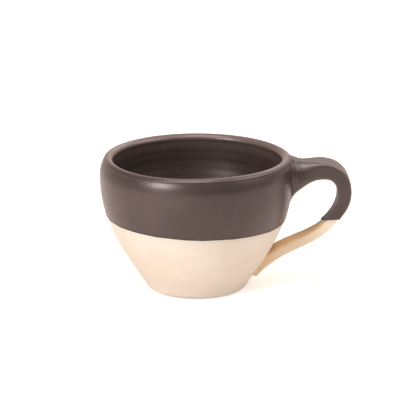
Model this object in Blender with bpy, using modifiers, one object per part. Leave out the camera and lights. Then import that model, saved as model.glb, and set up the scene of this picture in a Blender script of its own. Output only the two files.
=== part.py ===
"""Stoneware latte cup, half dipped in a dark matte glaze.

A thrown body carries a pulled strap handle, luted on with two pads of slip. A poured glaze lines the inside.
A dipped glaze covers the lip, the upper body and the upper handle, down to a slightly tilted line.

Metres, +Z up. The origin is the centre of the flat base, and the handle points along +X.
"""

import math
from collections import namedtuple

import bmesh
import bpy
from mathutils import Vector
from mathutils.geometry import interpolate_bezier

# Thrown body, bare clay
CUP_HEIGHT = 0.0751
BELLY_RADIUS = 0.0536
BELLY_DROP = 0.0098  # from the top of the lip down to the widest ring
SHOULDER_RADIUS = 0.0173  # arc from the widest ring in to the lip
FLANK_STRAIGHT = 0.0222  # from the base edge up to the long arc that ends at the widest ring
BASE_RADIUS = 0.0253  # flat of the base
BASE_EDGE_RADIUS = 0.0041
WALL = 0.0031
FLOOR = 0.0060
FLOOR_FILLET = 0.0140

# Glaze coats and slip
GAP = 0.0003  # clearance between neighbouring pieces
GLAZE = 0.0004
SLIP = 0.0005
GLAZE_LINE = 0.0414  # height of the dip line on the cup's axis
GLAZE_TILT = math.radians(1.73)  # the line falls towards the handle
HANDLE_LINE = 0.0385  # height of the dip line at the middle of the handle's elbow
HANDLE_LINE_TILT = math.radians(-6.7)  # rises away from the cup
HANDLE_LINE_ROLL = math.radians(-13.4)  # falls towards +Y

# Pulled strap handle, thickness along its curve and width across it
ROOT_DROP = 0.0112  # upper root, below the top of the lip
ROOT_HEADING = math.radians(14)
ROOT_THICKNESS = 0.0051
CREST_DROP = 0.0070
CREST_REACH = 0.0173  # out from the belly
CREST_THICKNESS = 0.0085
SIDE_REACH = 0.0294
SIDE_THICKNESS = 0.0065
ELBOW_HEIGHT = 0.0411
ELBOW_REACH = 0.0243
ELBOW_HEADING = math.radians(-124)
ELBOW_THICKNESS = 0.0037
HEEL_HEIGHT = 0.0162  # where the strap comes down on the flank
HEEL_STAND_OFF = 0.0018  # from the flank to the middle of the strap
HEEL_HEADING = math.radians(-139.5)
HEEL_THICKNESS = 0.0062
HEEL_WRAP = 0.6  # how far the section bends round the cup, 1 hugs it
TAIL_HEIGHT = 0.0070
TAIL_STAND_OFF = 0.0008
TAIL_THICKNESS = 0.0046
STRAP_WIDTH = 0.0160
TAIL_WIDTH = 0.0180
ROOT_FLARE = 0.0144  # thickness added where the strap meets the wall
ROOT_FLARE_WIDTH = 0.0050
ROOT_FLARE_LENGTH = 0.0270
ROOT_FLARE_CURVE = 3.1  # exponent of the flare's fade
STRAP_SQUARENESS = 3.6  # exponent of the rounded section, 2 is an ellipse
BEND_EASE = 0.39  # share of a bend's chord taken by each of its tangents

# Facets
TURN_STEPS = 48
BEND_STEPS = 7
SECTION_POINTS = 20

Arc = namedtuple("Arc", "x z radius start end side steps")
Knot = namedtuple("Knot", "x z heading thickness width wrap")
Ring = namedtuple("Ring", "x z heading thickness width wrap flare")


def clear_scene():
    for old in list(bpy.data.objects):
        bpy.data.objects.remove(old, do_unlink=True)


def new_collection(name):
    collection = bpy.data.collections.new(name)
    bpy.context.scene.collection.children.link(collection)
    return collection


def ceramic_material(name, colour, roughness):
    material = bpy.data.materials.new(name)
    material.use_nodes = True
    shader = material.node_tree.nodes["Principled BSDF"]
    shader.inputs["Base Color"].default_value = (*colour, 1.0)
    shader.inputs["Roughness"].default_value = roughness
    shader.inputs["Metallic"].default_value = 0.0
    return material


def wall_arcs():
    """The arcs of the clay wall: up the inside, over the lip and down the outside."""
    belly_z = CUP_HEIGHT - BELLY_DROP
    shoulder_x = BELLY_RADIUS - SHOULDER_RADIUS
    lip_arm = SHOULDER_RADIUS - WALL / 2
    lip_angle = math.asin((BELLY_DROP - WALL / 2) / lip_arm)
    lip_x = shoulder_x + lip_arm * math.cos(lip_angle)
    lip_z = belly_z + lip_arm * math.sin(lip_angle)

    # The straight flank leaves the base edge, and the long arc turns it upright at the widest ring
    spread = BELLY_RADIUS - BASE_RADIUS
    rise = belly_z - BASE_EDGE_RADIUS
    lean = 2.0 * math.atan((spread - BASE_EDGE_RADIUS) / (rise + FLANK_STRAIGHT))
    tangent = (spread - BASE_EDGE_RADIUS * math.cos(lean)) / math.sin(lean) - FLANK_STRAIGHT
    flank_radius = tangent / math.tan(lean / 2.0)
    flank_x = BELLY_RADIUS - flank_radius

    # The floor fillet touches the floor and the inner face of the flank
    fillet_z = FLOOR + FLOOR_FILLET
    inner_reach = flank_radius - WALL - FLOOR_FILLET
    fillet_x = flank_x + (inner_reach + (fillet_z - belly_z) * math.sin(lean)) / math.cos(lean)

    down = -math.pi / 2
    inside = [
        Arc(fillet_x, fillet_z, FLOOR_FILLET, down, -lean, -1, 4),
        Arc(flank_x, belly_z, flank_radius - WALL, -lean, 0, -1, 6),
        Arc(shoulder_x, belly_z, SHOULDER_RADIUS - WALL, 0, lip_angle, -1, 4),
    ]
    lip = Arc(lip_x, lip_z, WALL / 2, lip_angle + math.pi, lip_angle, 1, 6)
    outside = [
        Arc(shoulder_x, belly_z, SHOULDER_RADIUS, lip_angle, 0, 1, 4),
        Arc(flank_x, belly_z, flank_radius, 0, -lean, 1, 6),
        Arc(BASE_RADIUS, BASE_EDGE_RADIUS, BASE_EDGE_RADIUS, -lean, down, 1, 4),
    ]
    return inside, lip, outside


INSIDE, LIP, OUTSIDE = wall_arcs()
FLANK_LEAN = OUTSIDE[-1].start


def path(arcs, offset=0.0):
    """Points along the arcs, moved off the clay by the offset."""
    points = []
    for arc in arcs:
        radius = arc.radius + arc.side * offset
        for step in range(arc.steps + 1):
            angle = arc.start + (arc.end - arc.start) * step / arc.steps
            points.append((arc.x + radius * math.cos(angle), arc.z + radius * math.sin(angle)))
    return points


def wall_radius(height):
    """Outer radius of the clay at a height on the flank or the long arc."""
    _, flank, edge = OUTSIDE
    flank_foot = flank.z + flank.radius * math.sin(flank.end)
    if height > flank_foot:
        return flank.x + math.sqrt(flank.radius ** 2 - (height - flank.z) ** 2)
    foot_x = edge.x + edge.radius * math.cos(edge.start)
    foot_z = edge.z + edge.radius * math.sin(edge.start)
    return foot_x - (height - foot_z) * math.tan(FLANK_LEAN)


def off_flank(height, stand_off):
    """A point on the flank at a height, moved straight off it."""
    x = wall_radius(height) + stand_off * math.cos(FLANK_LEAN)
    z = height + stand_off * math.sin(FLANK_LEAN)
    return x, z


def turned(name, points, collection, closed=False):
    """A profile in the XZ plane, turned round the Z axis."""
    mesh = bpy.data.meshes.new(name)
    edges = [(i, i + 1) for i in range(len(points) - 1)]
    if closed:
        edges.append((len(points) - 1, 0))
    mesh.from_pydata([(x, 0.0, z) for x, z in points], edges, [])
    piece = bpy.data.objects.new(name, mesh)
    collection.objects.link(piece)
    screw = piece.modifiers.new("turn", "SCREW")
    screw.axis = "Z"
    screw.steps = TURN_STEPS
    screw.render_steps = TURN_STEPS
    screw.use_merge_vertices = True
    screw.merge_threshold = 0.00001
    screw.use_smooth_shade = True
    return piece


def wall_envelope(offset, collection):
    """Everything inside the cup's outer surface, moved off the clay by the offset."""
    over_lip = LIP._replace(start=math.pi / 2)
    skin = path([over_lip, *OUTSIDE], offset)
    points = [(0.0, skin[0][1]), *skin, (0.0, skin[-1][1])]
    return turned(f"envelope_{offset * 1e6:.0f}", points, collection)


def handle_knots():
    """Where the middle of the strap passes, with its heading and its section."""
    root_z = CUP_HEIGHT - ROOT_DROP
    crest_z = CUP_HEIGHT - CREST_DROP
    side_z = (crest_z + ELBOW_HEIGHT) / 2
    tail_heading = FLANK_LEAN - math.pi / 2
    return [
        Knot(wall_radius(root_z), root_z, ROOT_HEADING, ROOT_THICKNESS, STRAP_WIDTH, 0.0),
        Knot(BELLY_RADIUS + CREST_REACH, crest_z, 0.0, CREST_THICKNESS, STRAP_WIDTH, 0.0),
        Knot(BELLY_RADIUS + SIDE_REACH, side_z, -math.pi / 2, SIDE_THICKNESS, STRAP_WIDTH, 0.0),
        Knot(BELLY_RADIUS + ELBOW_REACH, ELBOW_HEIGHT, ELBOW_HEADING, ELBOW_THICKNESS, STRAP_WIDTH, 0.0),
        Knot(*off_flank(HEEL_HEIGHT, HEEL_STAND_OFF), HEEL_HEADING, HEEL_THICKNESS, TAIL_WIDTH, HEEL_WRAP),
        Knot(*off_flank(TAIL_HEIGHT, TAIL_STAND_OFF), tail_heading, TAIL_THICKNESS, TAIL_WIDTH, 1.0),
    ]


def bend(first, last):
    """Points of a smooth bend between two knots, tangent to both headings."""
    begin = Vector((first.x, first.z))
    end = Vector((last.x, last.z))
    pull = (end - begin).length * BEND_EASE
    leave = begin + pull * Vector((math.cos(first.heading), math.sin(first.heading)))
    arrive = end - pull * Vector((math.cos(last.heading), math.sin(last.heading)))
    return interpolate_bezier(begin, leave, arrive, end, BEND_STEPS + 1)


def strap_rings(knots):
    """Sections along the strap, from inside the wall at the upper root to the end of the tail."""
    root = knots[0]
    sunk_z = root.z - WALL * math.tan(root.heading)
    rings = [Ring(root.x - WALL, sunk_z, 0.0, root.thickness, root.width, 0.0, 1.0)]
    travelled = 0.0
    for first, last in zip(knots, knots[1:]):
        points = bend(first, last)
        for step, point in enumerate(points):
            if step == 0 and first is not root:
                continue
            before = points[max(step - 1, 0)]
            after = points[min(step + 1, BEND_STEPS)]
            along = after - before
            heading = math.atan2(along.y, along.x)
            if step == 0:
                heading = first.heading
            if step == BEND_STEPS:
                heading = last.heading
            travelled += (point - before).length
            share = step / BEND_STEPS
            thickness = first.thickness + (last.thickness - first.thickness) * share
            width = first.width + (last.width - first.width) * share
            wrap = first.wrap + (last.wrap - first.wrap) * share
            flare = max(0.0, 1.0 - travelled / ROOT_FLARE_LENGTH) ** ROOT_FLARE_CURVE
            upright = heading * (1.0 - flare)  # the sections stand upright at the wall
            rings.append(Ring(point.x, point.y, upright, thickness, width, wrap, flare))
    return rings


def rounded(value):
    """A cosine or sine, squared off for the strap's rounded section."""
    return math.copysign(abs(value) ** (2.0 / STRAP_SQUARENESS), value)


def section(ring, grow):
    """The points round one section, grown on all sides."""
    half_thickness = (ring.thickness + ring.flare * ROOT_FLARE) / 2 + grow
    half_width = (ring.width + ring.flare * ROOT_FLARE_WIDTH) / 2 + grow
    points = []
    for step in range(SECTION_POINTS):
        angle = 2.0 * math.pi * step / SECTION_POINTS
        out = rounded(math.cos(angle)) * half_thickness
        y = rounded(math.sin(angle)) * half_width
        x = ring.x - math.sin(ring.heading) * out
        z = ring.z + math.cos(ring.heading) * out
        flat = Vector((x, y, z))
        hugging = Vector((x * math.cos(y / x), x * math.sin(y / x), z))
        points.append(flat.lerp(hugging, ring.wrap))
    return points


def strap(name, rings, grow, collection):
    """A loft through the sections, with flat ends."""
    shape = bmesh.new()
    loops = []
    for ring in rings:
        loops.append([shape.verts.new(point) for point in section(ring, grow)])
    for near, far in zip(loops, loops[1:]):
        for i in range(SECTION_POINTS):
            j = (i + 1) % SECTION_POINTS
            shape.faces.new((near[i], near[j], far[j], far[i]))
    shape.faces.new(loops[0])
    shape.faces.new(loops[-1])
    bmesh.ops.recalc_face_normals(shape, faces=shape.faces)
    mesh = bpy.data.meshes.new(name)
    shape.to_mesh(mesh)
    shape.free()
    mesh.shade_smooth()
    piece = bpy.data.objects.new(name, mesh)
    collection.objects.link(piece)
    return piece


def below_line(name, x, height, tilt, roll, collection):
    """A block under a dip line, larger than the cup and its handle."""
    size = 8.0 * BELLY_RADIUS
    shape = bmesh.new()
    bmesh.ops.create_cube(shape, size=size)
    bmesh.ops.translate(shape, verts=shape.verts, vec=(0.0, 0.0, -size / 2))
    mesh = bpy.data.meshes.new(name)
    shape.to_mesh(mesh)
    shape.free()
    block = bpy.data.objects.new(name, mesh)
    block.location = (x, 0.0, height)
    block.rotation_euler = (roll, tilt, 0.0)
    collection.objects.link(block)
    return block


def combine(piece, operation, other):
    boolean = piece.modifiers.new(f"{operation.lower()}_{other.name}", "BOOLEAN")
    boolean.operation = operation
    boolean.solver = "EXACT"
    boolean.object = other


def cup_body(parts):
    up_inside = path(INSIDE)
    over_and_down = path([LIP, *OUTSIDE])
    return turned("cup_body", [(0.0, FLOOR), *up_inside, *over_and_down, (0.0, 0.0)], parts)


def handle(parts, rings, seat):
    piece = strap("handle", rings, 0.0, parts)
    combine(piece, "DIFFERENCE", seat)
    return piece


def slip_pad(name, parts, rings, pad_face, pad_back):
    piece = strap(name, rings, 0.0, parts)
    combine(piece, "INTERSECT", pad_face)
    combine(piece, "DIFFERENCE", pad_back)
    return piece


def liner_glaze(parts):
    fillet, flank, shoulder = INSIDE
    face = GAP + GLAZE
    seam = GAP / (shoulder.radius - face)
    lined = [fillet, flank, shoulder._replace(end=shoulder.end - seam)]
    up_face = [(0.0, FLOOR + face), *path(lined, face)]
    down_back = [*reversed(path(lined, GAP)), (0.0, FLOOR + GAP)]
    return turned("liner_glaze", up_face + down_back, parts)


def handle_coat(cutters, rings):
    """The dipped coat on the handle, reaching half way into the coat on the wall."""
    elbow_x = BELLY_RADIUS + ELBOW_REACH
    coat = strap("handle_coat", rings, GAP + GLAZE, cutters)
    combine(coat, "DIFFERENCE", wall_envelope(GAP + GLAZE / 2, cutters))
    below = below_line("below_handle_line", elbow_x, HANDLE_LINE, HANDLE_LINE_TILT, HANDLE_LINE_ROLL, cutters)
    combine(coat, "DIFFERENCE", below)
    return coat


def dip_glaze(parts, cutters, rings):
    coated = [LIP, *OUTSIDE]
    outline = [*path(coated, GAP + GLAZE), *reversed(path(coated, GAP))]
    piece = turned("dip_glaze", outline, parts, closed=True)
    combine(piece, "DIFFERENCE", below_line("below_cup_line", 0.0, GLAZE_LINE, GLAZE_TILT, 0.0, cutters))
    combine(piece, "UNION", handle_coat(cutters, rings))
    combine(piece, "DIFFERENCE", strap("handle_space", rings, GAP, cutters))
    return piece


def build():
    clear_scene()
    parts = new_collection("latte_cup")
    cutters = new_collection("cutters")

    stoneware = ceramic_material("bare_stoneware", (0.80, 0.64, 0.48), 0.85)
    pulled_clay = ceramic_material("pulled_stoneware", (0.78, 0.61, 0.45), 0.85)
    fired_slip = ceramic_material("fired_slip", (0.72, 0.55, 0.39), 0.90)
    poured = ceramic_material("poured_glaze", (0.040, 0.033, 0.030), 0.45)
    dipped = ceramic_material("dipped_glaze", (0.070, 0.056, 0.051), 0.42)

    rings = strap_rings(handle_knots())
    crest = 1 + BEND_STEPS
    elbow = 1 + 3 * BEND_STEPS
    pad_back = wall_envelope(GAP, cutters)
    pad_face = wall_envelope(GAP + SLIP, cutters)
    handle_seat = wall_envelope(GAP + SLIP + GAP, cutters)

    finishes = [
        (cup_body(parts), stoneware),
        (handle(parts, rings, handle_seat), pulled_clay),
        (slip_pad("slip_upper", parts, rings[:crest + 1], pad_face, pad_back), fired_slip),
        (slip_pad("slip_lower", parts, rings[elbow:], pad_face, pad_back), fired_slip),
        (liner_glaze(parts), poured),
        (dip_glaze(parts, cutters, rings), dipped),
    ]
    for piece, material in finishes:
        piece.data.materials.append(material)
    for cutter in cutters.objects:
        cutter.hide_render = True
        cutter.display_type = "WIRE"


build()
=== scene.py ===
import math

import bmesh
import bpy
import numpy as np
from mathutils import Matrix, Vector


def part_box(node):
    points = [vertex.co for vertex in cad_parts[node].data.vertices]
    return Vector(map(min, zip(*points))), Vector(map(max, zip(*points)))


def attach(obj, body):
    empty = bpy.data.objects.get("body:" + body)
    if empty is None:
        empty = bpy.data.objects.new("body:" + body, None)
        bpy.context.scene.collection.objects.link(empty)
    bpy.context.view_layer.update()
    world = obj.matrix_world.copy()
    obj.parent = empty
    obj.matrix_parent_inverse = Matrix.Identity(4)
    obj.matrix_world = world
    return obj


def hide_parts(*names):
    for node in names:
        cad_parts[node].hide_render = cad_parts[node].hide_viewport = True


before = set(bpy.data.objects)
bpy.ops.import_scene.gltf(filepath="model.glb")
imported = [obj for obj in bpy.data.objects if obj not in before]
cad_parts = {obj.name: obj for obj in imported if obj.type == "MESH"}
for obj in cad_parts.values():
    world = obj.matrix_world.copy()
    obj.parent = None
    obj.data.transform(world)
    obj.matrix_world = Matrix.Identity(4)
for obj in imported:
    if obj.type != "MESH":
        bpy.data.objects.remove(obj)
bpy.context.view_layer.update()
mm = 0.001


# Mesh helpers: a piece is a grid of rings, closed round its columns

def skin(name, rings, closed=False):
    rows, cols = rings.shape[:2]
    index = np.arange(rows * cols).reshape(rows, cols)
    near = index if closed else index[:-1]
    far = np.roll(index, -1, 0) if closed else index[1:]
    quads = np.stack([near, np.roll(near, -1, 1), np.roll(far, -1, 1), far], -1)
    faces = quads.reshape(-1, 4).tolist()
    points = rings.reshape(-1, 3)
    if not closed:
        for row in (index[0], index[-1]):  # a pole in the middle of each end
            pole = len(points)
            points = np.vstack([points, points[row].mean(0)])
            faces += [[pole, a, b] for a, b in zip(row.tolist(), np.roll(row, -1).tolist())]
    mesh = bpy.data.meshes.new(name)
    mesh.from_pydata(points.tolist(), [], faces)
    work = bmesh.new()
    work.from_mesh(mesh)
    bmesh.ops.recalc_face_normals(work, faces=work.faces)
    work.to_mesh(mesh)
    work.free()
    mesh.shade_smooth()
    piece = bpy.data.objects.new(name, mesh)
    bpy.context.scene.collection.objects.link(piece)
    return piece


def note(piece, name, values):  # a number for each point, for the finish to read
    layer = piece.data.attributes.new(name, "FLOAT", "POINT")
    flat = np.zeros(len(piece.data.vertices), np.float32)
    flat[:values.size] = values.ravel()
    layer.data.foreach_set("value", flat)


def dress(piece, finish, slot, *nodes):
    piece.data.materials.clear()
    piece.data.materials.append(finish)
    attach(piece, "root")
    if nodes:
        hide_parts(*nodes)
    print("made", piece.name, len(piece.data.polygons), "faces")
    return piece


def smooth(value, low, high):
    share = np.clip((value - low) / (high - low), 0.0, 1.0)
    return share * share * (3.0 - 2.0 * share)


def softly(knots, value):  # smooth curve through {place: height}, level at both ends
    places, heights = np.array(list(knots)), np.array(list(knots.values()))
    slopes = np.gradient(heights, places)
    slopes[[0, -1]] = 0.0
    inside = np.clip(value, places[0], places[-1])
    i = np.clip(np.searchsorted(places, inside) - 1, 0, len(places) - 2)
    wide = places[i + 1] - places[i]
    t = (inside - places[i]) / wide
    rise = heights[i] + (heights[i + 1] - heights[i]) * t * t * (3.0 - 2.0 * t)
    return rise + wide * t * (1.0 - t) * (slopes[i] * (1.0 - t) - slopes[i + 1] * t)


def waves(angle, sizes, seed):  # a wavy line round a piece, from {count: height}
    draw = np.random.default_rng(seed)
    total = np.zeros_like(angle)
    for count, size in sizes.items():
        total += size * np.sin(count * angle + draw.uniform(0.0, 2.0 * math.pi))
    return total


# Shader helpers: sums on sockets make their own nodes

class Wire:
    def __init__(self, paint, socket):
        self.paint = paint
        self.socket = socket

    def sums(self, operation, *values):
        return self.paint.node("ShaderNodeMath", {"operation": operation}, dict(enumerate(values)))

    def __add__(self, other):
        return self.sums("ADD", self, other)

    def __radd__(self, other):
        return self.sums("ADD", other, self)

    def __sub__(self, other):
        return self.sums("SUBTRACT", self, other)

    def __rsub__(self, other):
        return self.sums("SUBTRACT", other, self)

    def __mul__(self, other):
        return self.sums("MULTIPLY", self, other)

    def __rmul__(self, other):
        return self.sums("MULTIPLY", other, self)

    def __abs__(self):
        return self.sums("ABSOLUTE", self)

    def most(self, other):
        return self.sums("MAXIMUM", self, other)

    def ease(self, low, high):  # 0 at low, 1 at high
        setup = {"interpolation_type": "SMOOTHSTEP"}
        inputs = {"Value": self, "From Min": low, "From Max": high}
        return self.paint.node("ShaderNodeMapRange", setup, inputs)


class Paint:
    def __init__(self, owner):
        owner.use_nodes = True
        self.owner = owner
        self.tree = owner.node_tree
        self.shader = self.tree.nodes.get("Principled BSDF") or self.tree.nodes.get("Background")

    def node(self, kind, settings, inputs, output=0):
        made = self.tree.nodes.new(kind)
        for key, value in settings.items():
            setattr(made, key, value)
        for key, value in inputs.items():
            self.plug(made.inputs[key], value)
        return Wire(self, made.outputs[output])

    def plug(self, socket, value):
        if isinstance(value, Wire):
            self.tree.links.new(value.socket, socket)
        else:
            socket.default_value = value

    def set(self, **values):  # sockets of the shader, by name with spaces left out
        for socket in self.shader.inputs:
            plain = socket.name.replace(" ", "")
            key = plain[:1].lower() + plain[1:]
            if key in values:
                self.plug(socket, values[key])
        return self.owner

    def place(self):
        return self.node("ShaderNodeTexCoord", {}, {}, "Object")

    def axis(self, vector, name):
        return self.node("ShaderNodeSeparateXYZ", {}, {"Vector": vector}, name)

    def read(self, name):
        return self.node("ShaderNodeAttribute", {"attribute_name": name}, {}, "Fac")

    def cloud(self, size, detail, rough, stretch=(1, 1, 1), seed=0.0):  # size in metres
        moved = {"Vector": self.place(), "Scale": stretch, "Location": (seed,) * 3}
        shift = self.node("ShaderNodeMapping", {}, moved)
        inputs = {"Vector": shift, "Scale": 1.0 / size, "Detail": detail, "Roughness": rough}
        return self.node("ShaderNodeTexNoise", {}, inputs, "Fac")

    def dots(self, spacing, radius, share, seed, core=0.35, faint=0.6):
        shift = self.node("ShaderNodeMapping", {}, {"Vector": self.place(), "Location": (seed,) * 3})
        cells = {"Vector": shift, "Scale": 1.0 / spacing}
        away = self.node("ShaderNodeTexVoronoi", {}, cells, "Distance")
        drawn = self.node("ShaderNodeTexVoronoi", {}, cells, "Color")
        pick = self.node("ShaderNodeSeparateColor", {}, {"Color": drawn}, "Red")
        kept = pick.ease(1.0 - share, 1.0 - faint * share)  # round spots in that share of the cells
        reach = radius / spacing
        return (1.0 - away.ease(core * reach, reach)) * kept

    def blend(self, share, first, second, how="MIX"):
        colours = [value if isinstance(value, Wire) else (*value, 1.0) for value in (first, second)]
        return self.node("ShaderNodeMix", {"data_type": "RGBA", "blend_type": how, "clamp_factor": True},
                         {0: share, 6: colours[0], 7: colours[1]}, 2)

    def relief(self, height, depth, strength):  # bumps of that depth in metres
        inputs = {"Height": height, "Distance": depth, "Strength": strength}
        return self.node("ShaderNodeBump", {}, inputs)


# The thrown wall: one line up the inside, over the lip, down the outside and under the base

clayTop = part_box("cup_body")[1].z
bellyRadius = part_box("cup_body")[1].x

cup = {
    "bellyDrop": 9.8 * mm,  # top of the lip down to the widest ring
    "shoulder": 17.3 * mm,
    "flankStraight": 22.2 * mm,
    "baseRadius": 25.3 * mm,
    "baseEdge": 4.1 * mm,
    "wall": 3.1 * mm,
    "floor": 6.0 * mm,
    "floorFillet": 14.0 * mm,
    "columns": 288,
    "arcStep": 0.25 * mm, "arcPoints": 9,  # points of an arc: their spacing, and the fewest
}


def arcRun(x, z, radius, start, end, side):
    count = max(cup["arcPoints"], int(abs(end - start) * radius / cup["arcStep"]))
    angle = np.linspace(start, end, count)
    out = np.column_stack([np.cos(angle), np.sin(angle)])
    return np.hstack([np.array([[x, z]]) + radius * out, side * out])


def wallLine():
    beltZ = clayTop - cup["bellyDrop"]
    shoulderX = bellyRadius - cup["shoulder"]
    arm = cup["shoulder"] - cup["wall"] / 2
    lipTilt = math.asin((cup["bellyDrop"] - cup["wall"] / 2) / arm)
    lipX = shoulderX + arm * math.cos(lipTilt)
    lipZ = beltZ + arm * math.sin(lipTilt)
    spread = bellyRadius - cup["baseRadius"]
    rise = beltZ - cup["baseEdge"]
    lean = 2.0 * math.atan((spread - cup["baseEdge"]) / (rise + cup["flankStraight"]))
    tangent = (spread - cup["baseEdge"] * math.cos(lean)) / math.sin(lean) - cup["flankStraight"]
    flank = tangent / math.tan(lean / 2.0)
    flankX = bellyRadius - flank
    filletZ = cup["floor"] + cup["floorFillet"]
    reach = flank - cup["wall"] - cup["floorFillet"]
    filletX = flankX + (reach + (filletZ - beltZ) * math.sin(lean)) / math.cos(lean)
    down = -math.pi / 2
    runs = {
        "floor": np.array([[0.0, cup["floor"], 0.0, 1.0]]),
        "fillet": arcRun(filletX, filletZ, cup["floorFillet"], down, -lean, -1),
        "innerFlank": arcRun(flankX, beltZ, flank - cup["wall"], -lean, 0.0, -1),
        "innerShoulder": arcRun(shoulderX, beltZ, cup["shoulder"] - cup["wall"], 0.0, lipTilt, -1),
        "lip": arcRun(lipX, lipZ, cup["wall"] / 2, lipTilt + math.pi, lipTilt, 1),
        "shoulder": arcRun(shoulderX, beltZ, cup["shoulder"], lipTilt, 0.0, 1),
        "flank": arcRun(flankX, beltZ, flank, 0.0, -lean, 1),
        "baseEdge": arcRun(cup["baseRadius"], cup["baseEdge"], cup["baseEdge"], -lean, down, 1),
        "base": np.array([[0.0, 0.0, 0.0, -1.0]]),
    }
    line = np.vstack(list(runs.values()))
    gaps = np.linalg.norm(np.diff(line[:, :2], axis=0), axis=1)
    along = np.concatenate([[0.0], np.cumsum(gaps)])
    starts = np.cumsum([0] + [len(run) for run in runs.values()])[:-1]
    return line, along, {name: along[i] for name, i in zip(runs, starts)}, lean


lip = {
    "sag": 0.50 * mm, "sagAt": 234, "sagWidth": 27,  # the lip is a little low on one side, in degrees
    "pull": 0.85 * mm, "pullWidth": 30,  # and drawn out over the handle
    "swell": {  # how much fuller the inside is, by depth below the lip, both in mm
        -2.4: 0.0, -1.5: 0.35, -0.75: 0.8, 0: 1.2, 1: 1.7, 2: 2.1, 3.5: 2.6,
        5: 2.95, 8: 3.3, 14: 3.45, 28: 4.1, 48: 3.3, 76: 0.0,
    },
}

line, along, mark, flankLean = wallLine()
wallLength = along[-1]
outerWall = along >= mark["shoulder"]  # which points of the line lie outside
theta = np.linspace(0.0, 2.0 * math.pi, cup["columns"], endpoint=False)[None, :]
print("wall line", len(line), "points")


def onWall(s, offset):  # radius and height at a length along the wall, moved off the clay
    r, z, outR, outZ = (np.interp(s, along, line[:, i]) for i in range(4))
    return r + offset * outR, z + offset * outZ


def lengthAt(height):  # along the outer wall
    return np.interp(-height, -line[outerWall, 1], along[outerWall])


def allRound(s):  # the same lengths in every column
    return s + 0.0 * theta


def swell(s):
    return softly(lip["swell"], (mark["lip"] - s) / mm) * mm


def lobe(middle, width, bearing=theta):  # 1 at an angle in degrees, fading to 0 on both sides
    away = np.angle(np.exp(1j * (bearing - math.radians(middle))), deg=True)
    return np.exp(-(away / width) ** 2)


def nearLip(s):
    inside = smooth(s, mark["innerShoulder"], mark["lip"])
    return inside * (1.0 - smooth(s, mark["shoulder"], mark["flank"]))


def turned(s, offset):
    r, z = onWall(s, offset)
    z = z - lip["sag"] * lobe(lip["sagAt"], lip["sagWidth"]) * nearLip(s)
    r = r + lip["pull"] * lobe(0, lip["pullWidth"]) * nearLip(s)
    return np.stack(np.broadcast_arrays(r * np.cos(theta), r * np.sin(theta), z), -1)


def offWall(points):  # distance from the outer clay face, negative inside, and the way out
    outer = line[along >= mark["lip"]]
    drawn = lip["pull"] * nearLip(along[along >= mark["lip"]]) * outer[:, 2]
    radius = np.hypot(points[..., 0], points[..., 1])
    share = lobe(0, lip["pullWidth"], np.arctan2(points[..., 1], points[..., 0])).ravel()
    flat = np.stack([radius, points[..., 2]], -1).reshape(-1, 2)
    found = np.empty(len(flat))
    way = np.empty((len(flat), 2))
    batch = 4000  # points at a time, to spare memory
    for first in range(0, len(flat), batch):
        some = slice(first, first + batch)
        gap = flat[some, None, :] - outer[None, :, :2]
        nearest = np.argmin((gap ** 2).sum(-1), 1)
        step = gap[np.arange(len(gap)), nearest]
        way[some] = outer[nearest, 2:]
        found[some] = (step * way[some]).sum(-1) - share[some] * drawn[nearest]
    way = way.reshape(*points.shape[:-1], 2)
    spoke = points[..., :2] / radius[..., None]
    out = np.concatenate([spoke * way[..., :1], way[..., 1:]], -1)
    return found.reshape(points.shape[:-1]), out


def spaced(start, *stops):  # lengths along the wall, from (end, spacing) pairs after a start
    made = [np.array([start])]
    begin = start
    for end, gap in stops:
        count = max(1, int(round(abs(end - begin) / gap)))
        made.append(np.linspace(begin, end, count + 1)[1:])
        begin = end
    return np.concatenate(made)


fingers = {
    "wander": {1: (0.9, 1.1), 2: (0.5, 0.4)},  # of the spiral, round the cup: {count: (size, phase)}
    "fineTurns": 2.6, "fineCount": 2.0, "fineWander": 1.7, "fineShare": 0.45,
}


def throwingMarks(s, pitch, depth):  # the spiral that the fingers leave
    turn = 2.0 * math.pi * s / pitch
    wander = 0.0
    for count, (size, phase) in fingers["wander"].items():
        wander = wander + size * np.sin(count * theta + phase)
    fine = fingers["fineTurns"] * turn - fingers["fineCount"] * theta + fingers["fineWander"] * wander
    return depth * (np.sin(turn + theta + wander) + fingers["fineShare"] * np.sin(fine))


# Dip line on the body, in a plane that falls towards the handle, and the coat above it

dip = {
    "height": 41.4 * mm,
    "tilt": math.radians(1.73),
    "waves": {3: 0.07 * mm, 7: 0.06 * mm, 13: 0.06 * mm, 23: 0.05 * mm, 37: 0.04 * mm, 61: 0.025 * mm},
    "seed": 4,
    "thickness": 0.60 * mm,
    "backing": 0.02 * mm,  # between the clay and the back of the coat
    "edge": 0.45 * mm, "edgeRows": 7,  # length of the rounded edge
    "bead": 0.06 * mm, "beadAt": 1.1 * mm,  # glaze gathers just above the line
    "pool": (0.2 * mm, 1.6 * mm),  # and is darker there
    "lap": 2.2 * mm, "lapEnd": 0.6 * mm,  # how far it laps down inside the lip, and where it is full
    "sink": 0.05 * mm, "overFade": 0.4 * mm,  # where it starts, under the face of the liner
    "collar": {  # ridge of glaze outside the lip, by length past it, both in mm
        -0.8: 0.0, -0.3: 0.07, 0.2: 0.18, 0.6: 0.24, 0.95: 0.12, 1.3: 0.01, 1.8: 0.0,
    },
    "collarDrift": 0.15, "collarAt": 225, "collarWidth": 62,  # the collar is broader on one side
    "collarGap": 185, "collarGapWidth": 28,  # and wiped away beside it
    "thinShift": 0.5 * mm, "thinInside": 2.4 * mm, "thinOutside": 1.1 * mm,  # thin glaze over the lip
    "fineEnd": 3.0 * mm, "spacing": (0.30 * mm, 0.16 * mm, 0.45 * mm), "rows": 61,  # inside, lip, shoulder
    "backStart": 0.05, "backRows": 12, "backSpacing": (1.5 * mm, 0.4 * mm),
}


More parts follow.
